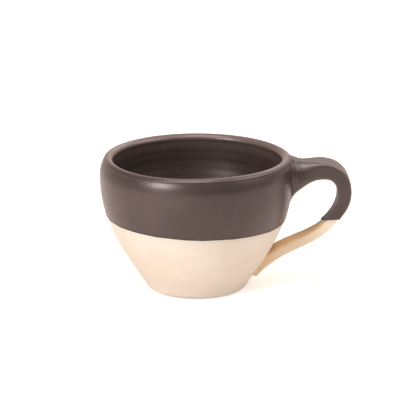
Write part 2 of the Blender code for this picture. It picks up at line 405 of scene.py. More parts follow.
def dipLength():  # where the coat ends, as a length along the wall
    s = np.full_like(theta, mark["flank"])
    for _ in range(6):  # radius and height settle each other
        r = onWall(s, 0.0)[0]
        level = dip["height"] - math.tan(dip["tilt"]) * r * np.cos(theta)
        s = lengthAt(level + waves(theta, dip["waves"], dip["seed"]))
    return s


dipEnd = dipLength()


def bead(above):
    return dip["bead"] * np.exp(-(above / dip["beadAt"] - 1.0) ** 2)


def roundedEdge(end):  # lengths over the edge of a coat, and its share of the thickness there
    turn = np.linspace(0.0, math.pi / 2, dip["edgeRows"] + 1)[1:, None]
    return end - dip["edge"] * (1.0 - np.sin(turn)), np.cos(turn)


# Bare stoneware

clay = {
    "cream": (0.780, 0.672, 0.568),
    "pale": (0.805, 0.720, 0.630),
    "blush": (0.805, 0.655, 0.550),
    # foot: painted bounce light from the floor on the foot's edge
    "foot": (0.905, 0.805, 0.705),
    # tan: painted warm bounce light and shade on the handle, and the slip's own tone
    "tan": (0.950, 0.650, 0.350),
    # tide: the colour of the tide lines, and painted shade on the tail
    "tide": (0.660, 0.445, 0.245),
    # the next colour is painted light: paler clay just under the dip line on the handle
    "fresh": (0.940, 0.810, 0.660),
    "iron": (0.330, 0.170, 0.085),
    "patches": {"size": 26 * mm, "detail": 2.0, "rough": 0.5, "seed": 3.1},
    "patchRange": (0.35, 0.68), "tideRange": (0.30, 0.62),  # of pale patches, and of tide lines
    "flush": {"size": 17 * mm, "detail": 3.0, "rough": 0.55, "seed": 8.4},
    "flushRange": (0.47, 0.72), "flushShare": 0.6,
    "grain": {"size": 0.75 * mm, "detail": 4.0, "rough": 0.62},
    "streaks": {"size": 3.2 * mm, "detail": 3.0, "rough": 0.6, "stretch": (0.25, 0.25, 2.2)},
    "shade": 0.90, "grainShade": 0.13, "streakShade": 0.07,
    "crookShare": 0.92, "tailShare": 0.4,  # painted shade, warm from bounce light, where clay faces clay and on the tail
    "freshFade": (3.0, 16.0),  # painted light on the handle, fading out between these mm under the dip line, like the ranges that follow
    "tideLines": {1.9: 0.20, 3.3: 0.12, 5.2: 0.09},  # faint lines where the dip drew back: {mm: darkness}
    "tideWander": 2.2, "wander": {"size": 14 * mm, "detail": 2.0, "rough": 0.5, "seed": 5.7},
    "tideEdge": (0.05, 0.34),
    "washed": (0.2, 1.5), "washedShare": 0.45,  # pale along the line
    "lower": (26.0, 42.0), "lowerShare": 0.8,  # paler towards the foot, painted bounce light from the floor
    "wiped": (37.0, 46.0), "wipedEnd": (47.0, 49.0),  # and paler still on its edge, painted bounce light from the floor
    "largeSpecks": {"spacing": 4.6 * mm, "radius": 0.42 * mm, "share": 0.16, "seed": 0.7},
    "smallSpecks": {"spacing": 1.9 * mm, "radius": 0.17 * mm, "share": 0.20, "seed": 2.9},
    "largeIron": 0.62, "smallIron": 0.5,
    "grit": {"size": 0.28 * mm, "detail": 2.0, "rough": 0.6},
    "grainHeight": 0.5, "gritHeight": 0.35, "speckDepth": 0.5,
    "relief": 0.06 * mm, "reliefStrength": 0.9,
    "roughness": 0.86, "grainRoughness": 0.12,
    "specular": 0.3,
}


def stoneware(name, stretch=(1, 1, 1), warmth=0.0, lines=True, fresh=0.0):
    paint = Paint(bpy.data.materials.new(name))
    patch = paint.cloud(**clay["patches"])
    flush = paint.cloud(**clay["flush"])
    colour = paint.blend(patch.ease(*clay["patchRange"]), clay["cream"], clay["pale"])
    colour = paint.blend(clay["flushShare"] * flush.ease(*clay["flushRange"]), colour, clay["blush"])
    grain = paint.cloud(**clay["grain"], stretch=stretch)
    streak = paint.cloud(**clay["streaks"])
    shade = clay["shade"] + clay["grainShade"] * grain + clay["streakShade"] * streak
    tone = paint.node("ShaderNodeCombineXYZ", {}, {0: shade, 1: shade, 2: shade})
    colour = paint.blend(1.0, colour, tone, "MULTIPLY")
    # tan over the whole piece: painted warm bounce light on the handle, the slip's own tone on the slip
    if warmth:
        colour = paint.blend(warmth, colour, clay["tan"])
    below = paint.read("belowDip")  # millimetres under the dip line
    # painted light: paler clay just under the dip line on the handle
    if fresh:
        colour = paint.blend(fresh * (1.0 - below.ease(*clay["freshFade"])), colour, clay["fresh"])
    # painted shade, warm from bounce light, in the handle's loop and by the wall, and darker painted shade
    # on the tail
    colour = paint.blend(clay["crookShare"] * paint.read("crook"), colour, clay["tan"])
    colour = paint.blend(clay["tailShare"] * paint.read("tail"), colour, clay["tide"])
    if lines:
        wander = clay["tideWander"] * paint.cloud(**clay["wander"])
        tide = 0.0
        for depth, dark in clay["tideLines"].items():
            away = abs(below + wander - depth - clay["tideWander"] / 2)
            tide = (1.0 - away.ease(*clay["tideEdge"])) * dark + tide
        colour = paint.blend(tide * patch.ease(*clay["tideRange"]), colour, clay["tide"])
        washed = clay["washedShare"] * (1.0 - below.ease(*clay["washed"]))
        colour = paint.blend(washed, colour, clay["pale"])
        # painted bounce light from the floor: paler towards the foot and on its edge
        colour = paint.blend(clay["lowerShare"] * below.ease(*clay["lower"]), colour, clay["pale"])
        wiped = below.ease(*clay["wiped"]) * (1.0 - below.ease(*clay["wipedEnd"]))
        colour = paint.blend(wiped, colour, clay["foot"])
    large = paint.dots(**clay["largeSpecks"])
    small = paint.dots(**clay["smallSpecks"])
    specks = (clay["largeIron"] * large).most(clay["smallIron"] * small)
    colour = paint.blend(specks, colour, clay["iron"])
    grit = paint.cloud(**clay["grit"])
    height = clay["grainHeight"] * grain + clay["gritHeight"] * grit - clay["speckDepth"] * large
    rough = clay["roughness"] + clay["grainRoughness"] * grain - clay["grainRoughness"] / 2
    return paint.set(baseColor=colour, roughness=rough, specularIORLevel=clay["specular"],
                     normal=paint.relief(height, clay["relief"], clay["reliefStrength"]))


# Dark satin glaze

glaze = {
    "dark": (0.0285, 0.0220, 0.0188),
    "brown": (0.0445, 0.0346, 0.0297),
    "thin": (0.215, 0.184, 0.160),
    "fleck": (0.135, 0.100, 0.086),
    "pit": (0.018, 0.014, 0.012),
    "pool": (0.030, 0.023, 0.021),
    "sheen": (1.0, 0.80, 0.79, 1.0),
    "drift": {"size": 19 * mm, "detail": 3.0, "rough": 0.55, "seed": 1.3},
    "driftRange": (0.32, 0.7),
    "mottle": {"size": 1.6 * mm, "detail": 4.0, "rough": 0.6, "seed": 6.2},
    "mottleRange": (0.42, 0.72), "mottleShare": 0.5,
    "flecks": {"spacing": 1.35 * mm, "radius": 0.16 * mm, "share": 0.25, "seed": 4.4},
    "pits": {"spacing": 1.7 * mm, "radius": 0.12 * mm, "share": 0.20, "seed": 9.5},
    "fleckShare": 0.55, "pitShare": 0.35, "poolShare": 0.7,
    "thinShare": 0.72, "thinEven": 0.65, "thinMottle": 0.7,  # how far the clay shows through
    "peel": {"size": 0.5 * mm, "detail": 3.0, "rough": 0.6},
    "mottleHeight": 0.5, "peelHeight": 0.5, "pitDepth": 0.4,
    "relief": 0.035 * mm, "reliefStrength": 0.55,
    "roughness": 0.38, "mottleRoughness": 0.10, "driftRoughness": 0.06, "poolRoughness": 0.28,
    "ior": 1.52,
    "coat": 0.58, "coatMottle": 0.24,
    "coatThin": 0.42, "coatPool": 0.8,  # thin glaze on the lip shines more, pooled glaze less
    "coatRoughness": 0.33,
}


def satinGlaze(name):
    paint = Paint(bpy.data.materials.new(name))
    drift = paint.cloud(**glaze["drift"])
    mottle = paint.cloud(**glaze["mottle"])
    colour = paint.blend(drift.ease(*glaze["driftRange"]), glaze["dark"], glaze["brown"])
    colour = paint.blend(glaze["mottleShare"] * mottle.ease(*glaze["mottleRange"]), colour, glaze["brown"])
    flecks = paint.dots(**glaze["flecks"])
    pits = paint.dots(**glaze["pits"])
    colour = paint.blend(glaze["fleckShare"] * flecks, colour, glaze["fleck"])
    colour = paint.blend(glaze["pitShare"] * pits, colour, glaze["pit"])
    thin = paint.read("thin")
    uneven = thin * (glaze["thinEven"] + glaze["thinMottle"] * mottle)
    colour = paint.blend(uneven * glaze["thinShare"], colour, glaze["thin"])
    pool = paint.read("pool")
    colour = paint.blend(glaze["poolShare"] * pool, colour, glaze["pool"])
    rough = glaze["roughness"] + glaze["mottleRoughness"] * mottle - glaze["mottleRoughness"] / 2
    rough = rough + glaze["driftRoughness"] * drift + glaze["poolRoughness"] * pool
    peel = paint.cloud(**glaze["peel"])
    height = glaze["mottleHeight"] * mottle + glaze["peelHeight"] * peel - glaze["pitDepth"] * pits
    coat = glaze["coat"] + glaze["coatMottle"] * mottle + glaze["coatThin"] * thin
    coat = coat * (1.0 - glaze["coatPool"] * pool)
    paint.set(coatWeight=coat, coatRoughness=glaze["coatRoughness"], coatTint=glaze["sheen"])
    return paint.set(baseColor=colour, roughness=rough, iOR=glaze["ior"], specularTint=glaze["sheen"],
                     normal=paint.relief(height, glaze["relief"], glaze["reliefStrength"]))


# Thrown body

body = {
    "pitch": 3.4 * mm, "ridge": 0.016 * mm,  # throwing marks
    "covered": 5.0 * mm, "fade": 4.0 * mm,  # which start above the dip line, under the glaze
    "basePitch": 1.7 * mm, "baseGroove": 0.035 * mm, "baseFade": 1.5 * mm,  # turned underside
    "pole": 0.4 * mm,  # radius of the last ring
    "spacing": (2.6 * mm, 0.6 * mm, 1.6 * mm, 0.48 * mm, 0.30 * mm, 0.55 * mm),  # of rings, from the floor
}


def makeBody():
    bare = dipEnd.min() - body["covered"]
    base = wallLength - cup["baseRadius"]
    ends = (mark["lip"], mark["shoulder"], bare, mark["baseEdge"], base, wallLength - body["pole"])
    s = spaced(0.0, *zip(ends, body["spacing"]))[1:, None]
    outside = smooth(s, bare, bare + body["fade"]) * (1.0 - smooth(s, mark["baseEdge"], base))
    under = smooth(s, base, base + body["baseFade"])
    groove = body["baseGroove"] * (1.0 + np.sin(2.0 * math.pi * s / body["basePitch"] + theta)) / 2.0
    relief = outside * throwingMarks(s, body["pitch"], body["ridge"]) - under * groove
    piece = skin("cup_body_thrown", turned(allRound(s), relief))
    note(piece, "belowDip", (s - dipEnd) / mm)
    return dress(piece, stoneware("bareStoneware"), "stoneware", "cup_body")


# Poured liner

liner = {
    "thickness": 0.52 * mm, "backing": 0.03 * mm,
    "over": 0.3 * mm,  # how far it goes up on the lip
    "pitch": 5.2 * mm, "ridge": 0.022 * mm, "marksFade": (2.0 * mm, 14.0 * mm),
    "thin": 0.03, "thinLip": 0.35, "thinDepth": 8.0 * mm, "thinCurve": 1.5,  # thinner towards the lip
    "pole": 0.5 * mm,
    "spacing": (0.8 * mm, 0.7 * mm, 0.15 * mm), "backSpacing": 3.0 * mm,
}


def makeLiner():
    top = mark["lip"] + liner["over"]
    ends = (mark["innerFlank"], mark["lip"], top)
    up = spaced(liner["pole"], *zip(ends, liner["spacing"]))[:, None]
    marks = smooth(up, *liner["marksFade"]) * (1.0 - smooth(up, mark["innerShoulder"], mark["lip"]))
    thick = liner["thickness"] + swell(up) + marks * throwingMarks(up, liner["pitch"], liner["ridge"])
    face = turned(allRound(up), thick)
    down = spaced(top, (liner["pole"], liner["backSpacing"]))[:, None]
    back = turned(allRound(down), liner["backing"])
    piece = skin("liner_glaze_coat", np.vstack([face, back]))
    nearTop = 1.0 - smooth(mark["lip"] - up, 0.0, liner["thinDepth"])
    note(piece, "thin", allRound(liner["thin"] + liner["thinLip"] * nearTop ** liner["thinCurve"]))
    return dress(piece, satinGlaze("pouredGlaze"), "liner_glaze", "liner_glaze")


# Dipped coat

def makeCoat():
    top = mark["lip"] - dip["lap"]
    ends = (mark["lip"], mark["shoulder"] + dip["fineEnd"], mark["flank"])
    upper = allRound(spaced(top, *zip(ends, dip["spacing"]))[:, None])
    share = np.linspace(0.0, 1.0, dip["rows"] + 1)[1:, None]
    lower = mark["flank"] + (dipEnd - dip["edge"] - mark["flank"]) * share
    s = np.vstack([upper, lower])
    lap = smooth(s, top, mark["lip"] + dip["lapEnd"])
    sunk = liner["thickness"] - dip["sink"]
    thick = sunk + (dip["thickness"] - sunk) * lap + swell(s) + bead(dipEnd - s)
    marks = throwingMarks(s, body["pitch"], body["ridge"])
    thick = thick + smooth(s, mark["shoulder"], mark["flank"]) * marks
    drift = dip["collarDrift"] * lobe(dip["collarAt"], dip["collarWidth"])
    kept = 1.0 - lobe(dip["collarGap"], dip["collarGapWidth"])
    thick = thick + softly(dip["collar"], (s - mark["shoulder"]) / mm - drift) * kept * mm
    edgeS, fall = roundedEdge(dipEnd)
    edgeThick = dip["backing"] + (thick[-1:] - dip["backing"]) * fall
    climb = np.linspace(dip["backStart"], 1.0, dip["backRows"])[:, None]
    backLow = dipEnd + (mark["flank"] - dipEnd) * climb
    backEnds = (mark["shoulder"], top)
    backHigh = spaced(mark["flank"], *zip(backEnds, dip["backSpacing"]))[1:, None]
    backS = np.vstack([backLow, allRound(backHigh)])
    linerTop = mark["lip"] + liner["over"]
    overLiner = 1.0 - smooth(backS, linerTop, linerTop + dip["overFade"])
    backThick = dip["backing"] + (sunk - dip["sink"]) * overLiner
    allS = np.vstack([s, edgeS, backS])
    rings = turned(allS, np.vstack([thick, edgeThick, backThick]))
    piece = skin("dip_glaze_coat", rings, closed=True)
    lipMiddle = (mark["lip"] + mark["shoulder"]) / 2
    past = allS - lipMiddle - dip["thinShift"]
    overLip = np.exp(-(past / np.where(past < 0.0, dip["thinInside"], dip["thinOutside"])) ** 2)
    note(piece, "thin", np.maximum(liner["thinLip"] * (allS < lipMiddle), overLip))
    note(piece, "pool", 1.0 - smooth(dipEnd - allS, *dip["pool"]))
    return dress(piece, satinGlaze("dippedGlaze"), "dip_glaze", "dip_glaze")


# Pulled strap handle

strap = {
    "rootDrop": 11.2 * mm, "rootHeading": math.radians(14), "rootThickness": 5.1 * mm, "width": 16.0 * mm,
    "crestDrop": 7.2 * mm, "crestReach": 17.3 * mm, "crestThickness": 8.5 * mm,
    "sideReach": 29.3 * mm, "sideThickness": 6.8 * mm, "sideWidth": 15.6 * mm,
    "elbowHeight": 41.1 * mm, "elbowReach": 24.3 * mm, "elbowHeading": math.radians(-124),
    "elbowThickness": 5.0 * mm, "elbowWidth": 11.0 * mm,
    "heelHeight": 16.2 * mm, "heelStandOff": 1.8 * mm, "heelHeading": math.radians(-139.5),
    "heelThickness": 6.9 * mm, "heelWidth": 14.5 * mm, "heelWrap": 0.6,
    "tailHeight": 7.0 * mm, "tailStandOff": 0.8 * mm, "tailThickness": 3.5 * mm, "tailWidth": 17.5 * mm,
    "flare": 19.0 * mm, "flareWidth": 5.6 * mm, "flareLength": 27.0 * mm,
    "flareCurve": 3.1, "flareUnder": 3.8, "flareSoft": 3.0 * mm,
    "squareness": (2.1, 6.0, 7.0, 8.0, 4.2, 3.0),  # of the section, from root to tail: 2 is an ellipse
    "ease": (0.39, 0.43, 0.39, 0.39, 0.39),  # how far each bend runs on, as a share of its chord
    "lean": 0.30, "leanStart": 6.0 * mm, "leanEnd": 18.0 * mm,  # the sides lean in at the top
    "leanTurn": -0.3,  # from this cosine round the section up
    "dipHeight": 38.0 * mm, "dipTilt": math.radians(1.3), "dipRoll": math.radians(-13.4),
    "dipWaves": {2: 0.10 * mm, 5: 0.07 * mm, 9: 0.05 * mm, 14: 0.03 * mm}, "dipSeed": 11,
    "seat": 0.10 * mm, "pressedFrom": 0.5,  # the lower half is pressed on its slip
    "tailRound": 1.5 * mm, "tailClosed": 0.97,
    "smear": 1.3 * mm, "smearClosed": 0.98,  # the tail is wiped on to the flank
    "crookWay": (-0.45, 0.0, 0.89), "crookTurn": (-0.2, 0.8), "crookGap": (18 * mm, 44 * mm),
    "nearGap": 5.0 * mm, "nearShare": 0.7, "warmFrom": 4.0 * mm,  # painted shade, warm from bounce light, in the loop and by the wall
    # warmth is painted warm bounce light over the handle; the share after it is painted light under the
    # dip line
    "grain": (0.5, 1.6, 0.5), "warmth": 0.36, "fresh": 0.9,
    "columns": 84, "rows": 190, "sunkRows": 7, "bendRows": 44, "softRows": 15,
}


def wallAt(height):  # outer clay radius
    return float(np.interp(-height, -line[outerWall, 1], line[outerWall, 0]))


def offFlank(height, standOff):
    return wallAt(height) + standOff * math.cos(flankLean), height - standOff * math.sin(flankLean)


def strapLine():
    rootZ = clayTop - strap["rootDrop"]
    crestZ = clayTop - strap["crestDrop"]
    sideZ = (crestZ + strap["elbowHeight"]) / 2
    heel = offFlank(strap["heelHeight"], strap["heelStandOff"])
    tail = offFlank(strap["tailHeight"], strap["tailStandOff"])
    places = np.array([  # reach, height, heading, thickness, width, wrap
        (wallAt(rootZ), rootZ, strap["rootHeading"], strap["rootThickness"], strap["width"], 0.0),
        (bellyRadius + strap["crestReach"], crestZ, 0.0, strap["crestThickness"], strap["width"], 0.0),
        (bellyRadius + strap["sideReach"], sideZ, -math.pi / 2,
         strap["sideThickness"], strap["sideWidth"], 0.0),
        (bellyRadius + strap["elbowReach"], strap["elbowHeight"], strap["elbowHeading"],
         strap["elbowThickness"], strap["elbowWidth"], 0.0),
        (*heel, strap["heelHeading"], strap["heelThickness"], strap["heelWidth"], strap["heelWrap"]),
        (*tail, -flankLean - math.pi / 2, strap["tailThickness"], strap["tailWidth"], 1.0),
    ])
    knots = np.column_stack([places, strap["squareness"]])
    root = knots[0]
    sunk = np.linspace(1.0, 0.0, strap["sunkRows"] + 1)[:-1, None] * cup["wall"]
    section = np.tile(root[3:], (len(sunk), 1))
    rows = [np.hstack([root[0] - sunk, root[1] - sunk * math.tan(root[2]), section])]
    t = np.linspace(0.0, 1.0, strap["bendRows"] + 1)[:-1, None]
    for first, last, ease in zip(knots, knots[1:], strap["ease"]):
        begin, end = first[:2], last[:2]
        pull = np.linalg.norm(end - begin) * ease
        leave = begin + pull * np.array([math.cos(first[2]), math.sin(first[2])])
        arrive = end - pull * np.array([math.cos(last[2]), math.sin(last[2])])
        bend = (1 - t) ** 3 * begin + 3 * (1 - t) ** 2 * t * leave
        bend = bend + 3 * (1 - t) * t ** 2 * arrive + t ** 3 * end
        rows.append(np.hstack([bend, first[3:] + (last[3:] - first[3:]) * t]))
    rows.append(np.delete(knots[-1], 2)[None, :])
    path = np.vstack(rows)
    soften = np.ones(strap["softRows"]) / strap["softRows"]
    for i in (2, 3, 4, 5):  # no kinks in thickness, width, wrap and squareness
        padded = np.pad(path[:, i], strap["softRows"] // 2, mode="edge")
        path[:, i] = np.convolve(padded, soften, mode="valid")
    return path


path = strapLine()
stepLength = np.concatenate([[0.0], np.cumsum(np.linalg.norm(np.diff(path[:, :2], axis=0), axis=1))])
fromWall = stepLength - stepLength[strap["sunkRows"]]
travelled = np.maximum(fromWall, 0.0)
turnOut = np.linspace(0.0, 2.0 * math.pi, strap["columns"], endpoint=False)[None, :]


def squared(value, squareness):
    return np.sign(value) * np.abs(value) ** (2.0 / squareness)


def strapRings(grow):
    x, z, thickness, width, wrap, square = (path[:, i:i + 1] for i in range(6))
    heading = np.unwrap(np.arctan2(np.gradient(path[:, 1]), np.gradient(path[:, 0])))[:, None]
    started = (fromWall + np.hypot(fromWall, strap["flareSoft"])) / 2
    rest = np.maximum(0.0, 1.0 - started[:, None] / strap["flareLength"])
    flare = rest ** strap["flareCurve"]
    heading = heading * (1.0 - flare)
    deep = np.where(np.cos(turnOut) > 0.0, flare, rest ** strap["flareUnder"])
    out = squared(np.cos(turnOut), square) * ((thickness + deep * strap["flare"]) / 2 + grow)
    leaning = smooth(travelled, 0.0, strap["leanStart"])
    leaning = leaning * (1.0 - smooth(travelled, strap["leanStart"], strap["leanEnd"]))
    upper = smooth(np.cos(turnOut), strap["leanTurn"], 1.0) * leaning[:, None]
    y = squared(np.sin(turnOut), square) * ((width + flare * strap["flareWidth"]) / 2 + grow)
    y = y * (1.0 - strap["lean"] * upper)
    atX = x - np.sin(heading) * out
    atZ = z + np.cos(heading) * out
    bent = y / atX
    hugX = atX + wrap * (atX * np.cos(bent) - atX)
    hugY = y + wrap * (atX * np.sin(bent) - y)
    return np.stack([hugX, hugY, atZ], -1)


def lengths(rings):
    steps = np.linalg.norm(np.diff(rings, axis=0), axis=-1)
    return np.vstack([np.zeros((1, rings.shape[1])), np.cumsum(steps, 0)])


def crossing(values, length):  # length at which a value first turns positive, column by column
    found = np.empty(values.shape[1])
    for j in range(values.shape[1]):
        after = int(np.argmax(values[:, j] > 0.0))
        before = max(after - 1, 0)
        low, high = values[before, j], values[after, j]
        share = 0.0 if high == low else -low / (high - low)
        found[j] = length[before, j] + share * (length[after, j] - length[before, j])
    return found


def resample(rings, length, wanted):
    made = np.empty((*wanted.shape, 3))
    for j in range(rings.shape[1]):
        for k in range(3):
            made[:, j, k] = np.interp(wanted[:, j], length[:, j], rings[:, j, k])
    return made


def facing(rings):  # outward direction of each point of a strap grid
    across = np.roll(rings, -1, 1) - np.roll(rings, 1, 1)
    onward = np.gradient(rings, axis=0)
    out = np.cross(across, onward)
    out /= np.linalg.norm(out, axis=-1, keepdims=True) + 1e-12  # never divides by nothing
    middle = rings.mean(1, keepdims=True)
    return out * np.sign(((rings - middle) * out).sum(-1, keepdims=True))


def aboveDip(points):  # height over the dip line on the handle
    tilt, roll = strap["dipTilt"], strap["dipRoll"]
    up = np.array([math.cos(roll) * math.sin(tilt), -math.sin(roll), math.cos(roll) * math.cos(tilt)])
    elbow = np.array([bellyRadius + strap["elbowReach"], 0.0, strap["dipHeight"]])
    return (points - elbow) @ up + waves(turnOut, strap["dipWaves"], strap["dipSeed"])


def makeHandle():
    rings = strapRings(0.0)
    length = lengths(rings)
    root = crossing(offWall(rings)[0] - strap["seat"], length)
    share = np.linspace(0.0, 1.0, strap["rows"])[:, None]
    grid = resample(rings, length, root + (length[-1] - root) * share)
    left = np.linalg.norm(np.diff(grid.mean(1), axis=0), axis=-1)
    left = np.concatenate([np.cumsum(left[::-1])[::-1], [0.0]])
    closing = np.clip(1.0 - left / strap["tailRound"], 0.0, strap["tailClosed"])
    middle = grid.mean(1, keepdims=True)
    grid = middle + (grid - middle) * np.sqrt(1.0 - closing ** 2)[:, None, None]
    gap, out = offWall(grid)
    lowerHalf = share > strap["pressedFrom"]
    sunk = np.minimum(gap - strap["seat"], 0.0) * lowerHalf
    grid = grid - sunk[..., None] * out
    close = np.clip(1.0 - (gap - sunk) / strap["smear"], 0.0, strap["smearClosed"]) * lowerHalf
    wiped = 1.0 + (1.0 - np.sqrt(1.0 - close ** 2)) * strap["smear"] / (strap["tailWidth"] / 2)
    bearing = np.arctan2(grid[..., 1], grid[..., 0]) * wiped
    reach = np.hypot(grid[..., 0], grid[..., 1])
    grid = np.stack([reach * np.cos(bearing), reach * np.sin(bearing), grid[..., 2]], -1)
    piece = skin("handle_strap", grid)
    below = -aboveDip(grid)
    note(piece, "belowDip", below / mm)
    # painted shade, warm from bounce light, on clay facing into the loop and near the wall, fading in
    # under the dip line; the tail attribute is painted shade near the wall
    inward = smooth(facing(grid) @ np.array(strap["crookWay"]), *strap["crookTurn"])
    crook = inward * (1.0 - smooth(gap, *strap["crookGap"]))
    near = 1.0 - smooth(gap, 0.0, strap["nearGap"])
    paintedShade = np.maximum(crook, strap["nearShare"] * near)
    note(piece, "crook", paintedShade * smooth(below, 0.0, strap["warmFrom"]))
    note(piece, "tail", near)
    finish = stoneware("pulledStoneware", strap["grain"], strap["warmth"], fresh=strap["fresh"])
    return dress(piece, finish, "stoneware", "handle")


# Dipped coat on the handle, run out on to the wall

sleeve = {
    "backing": 0.04 * mm,
    "sideFillet": 1.8 * mm, "topFillet": 1.6 * mm, "underFillet": 7.0 * mm,  # along the strap
    "topFoot": 0.4 * mm, "underFoot": 6.0 * mm,  # along the wall
    "brim": 0.38 * mm, "brimAt": 2.2 * mm, "brimWidth": 1.1 * mm,  # roll of clay pushed up on both sides
    "lineFrom": 30.0 * mm,  # the dip line is past the arch
    "thin": 0.55, "thinFade": (2.0 * mm, 9.0 * mm),  # on the corners of the section, past the root
    "crook": 0.7, "crookTurn": (0.2, 0.7), "crookFade": (22.0 * mm, 36.0 * mm),  # glaze pools in the crook
    "pool": (0.2 * mm, 1.4 * mm),
    "filletRows": 18, "rows": 149, "crowding": 1.4,  # rows are closer together near the root
    "backRows": 40, "backStart": 0.98,
}


def makeHandleCoat():
    rings = strapRings(dip["thickness"])
    inner = strapRings(sleeve["backing"])
    length = lengths(rings)
    level = dip["thickness"] - dip["sink"]
    root = crossing(offWall(rings)[0] - level, length)
    pastArch = travelled[:, None] > sleeve["lineFrom"]
    end = crossing(-aboveDip(rings) * pastArch - 1e-9, length)  # just under nothing before the arch
    side = np.sin(turnOut[0]) ** 2
    top = np.cos(turnOut[0]) > 0.0
    radius = np.where(top, sleeve["topFillet"], sleeve["underFillet"])
    radius = radius + (sleeve["sideFillet"] - radius) * side
    share = np.linspace(0.0, 1.0, sleeve["rows"] + 1)[1:, None] ** sleeve["crowding"]
    onStrap = root + radius + (end - dip["edge"] - root - radius) * share
    grid = resample(rings, length, onStrap)
    corner = resample(rings, length, root[None, :])[0]
    tip = resample(rings, length, (root + radius)[None, :])[0]
    out = offWall(corner)[1]
    slide = corner - corner.mean(0)
    slide = slide - (slide * out).sum(-1, keepdims=True) * out
    spread = np.where(top, sleeve["topFoot"], sleeve["underFoot"])
    spread = spread + (sleeve["sideFillet"] - spread) * side
    foot = corner + spread[:, None] * slide / np.linalg.norm(slide, axis=-1, keepdims=True)
    for _ in range(3):  # settles on the wall
        gap, out = offWall(foot)
        foot = foot - (gap - level)[:, None] * out
    t = np.linspace(0.0, 1.0, sleeve["filletRows"])[:, None, None]
    fillet = (1 - t) ** 2 * foot + 2 * t * (1 - t) * corner + t ** 2 * tip
    grid = np.vstack([fillet, grid])
    wanted = np.vstack([root + t[..., 0] * radius, onStrap])
    brim = np.exp(-((wanted - root - sleeve["brimAt"]) / sleeve["brimWidth"]) ** 2)
    raised = side * sleeve["brim"] * brim + bead(end - wanted)
    grid = grid + facing(grid) * raised[..., None]
    edge, fall = roundedEdge(end)
    outer = resample(rings, length, edge)
    under = resample(inner, length, edge)
    rim = under + (outer - under) * fall[..., None]
    backAt = root + (end - root) * np.linspace(sleeve["backStart"], 0.0, sleeve["backRows"])[:, None]
    back = resample(inner, length, backAt)
    piece = skin("handle_glaze_coat", np.vstack([grid, rim, back]), closed=True)
    allAt = np.vstack([wanted, edge, backAt])
    corners = np.sin(2.0 * turnOut) ** 2
    note(piece, "thin", sleeve["thin"] * corners * smooth(allAt - root, *sleeve["thinFade"]))
    crook = sleeve["crook"] * smooth(-np.cos(turnOut), *sleeve["crookTurn"])
    crook = crook * smooth(allAt - root, *sleeve["crookFade"])
    note(piece, "pool", np.maximum(crook, 1.0 - smooth(end - allAt, *sleeve["pool"])))
    return dress(piece, bpy.data.materials["dippedGlaze"], "dip_glaze")


# Slip that lutes both ends of the strap

slip = {
    "slip_lower": {"name": "slip_lower_film", "lip": 1.5 * mm, "height": 0.16 * mm, "flat": 0.80},
    "slip_upper": {"name": "slip_upper_film", "lip": -1.5 * mm, "height": 0.30 * mm, "flat": 0.90},
    "squareness": 3.6,
    "waves": {3: 0.10, 5: 0.08, 8: 0.06, 13: 0.05}, "seed": 21,
    "rim": 0.02 * mm, "sunk": 0.05 * mm,  # its edge stands off the clay, its back lies in it
    "columns": 96, "rings": 40, "hub": 0.04, "backStep": 3,
    "belowDip": 30.0,  # well under the dip line, in mm, for the finish
    "warmth": 0.16,
}


def makeSlip(node, finish):
    setup = slip[node]
    low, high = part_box(node)
    top, bottom = lengthAt(np.array([high.z, low.z]))
    tall = (bottom - top) / 2 + setup["lip"]
    wide = (high.y - low.y) / 2 + setup["lip"]
    around = np.linspace(0.0, 2.0 * math.pi, slip["columns"], endpoint=False)[None, :]
    outward = np.linspace(slip["hub"], 1.0, slip["rings"])[:, None]
    up = squared(np.sin(around), slip["squareness"]) * tall * outward
    across = squared(np.cos(around), slip["squareness"]) * wide * outward
    fromRim = np.clip((1.0 - outward) / (1.0 - setup["flat"]), 0.0, 1.0)
    uneven = 1.0 + waves(around, slip["waves"], slip["seed"])
    raised = setup["height"] * (1.0 - np.sqrt(1.0 - fromRim ** 2)) * uneven + slip["rim"]
    raised = np.where(outward < setup["flat"], setup["height"], raised)
    back = slice(None, None, -slip["backStep"])  # from the rim in again, with fewer rings
    raised = np.vstack([raised, np.full_like(raised[back], -slip["sunk"])])
    r, z = onWall((top + bottom) / 2 - np.vstack([up, up[back]]), raised)
    bearing = np.vstack([across, across[back]]) / r
    piece = skin(setup["name"], np.stack([r * np.cos(bearing), r * np.sin(bearing), z], -1))
    note(piece, "belowDip", np.full(r.shape, slip["belowDip"]))
    return dress(piece, finish, "slip", node)


makeBody()
makeLiner()
makeCoat()
makeHandle()
makeHandleCoat()
firedSlip = stoneware("firedSlip", warmth=slip["warmth"], lines=False)
for node in ("slip_lower", "slip_upper"):
    makeSlip(node, firedSlip)


# Studio

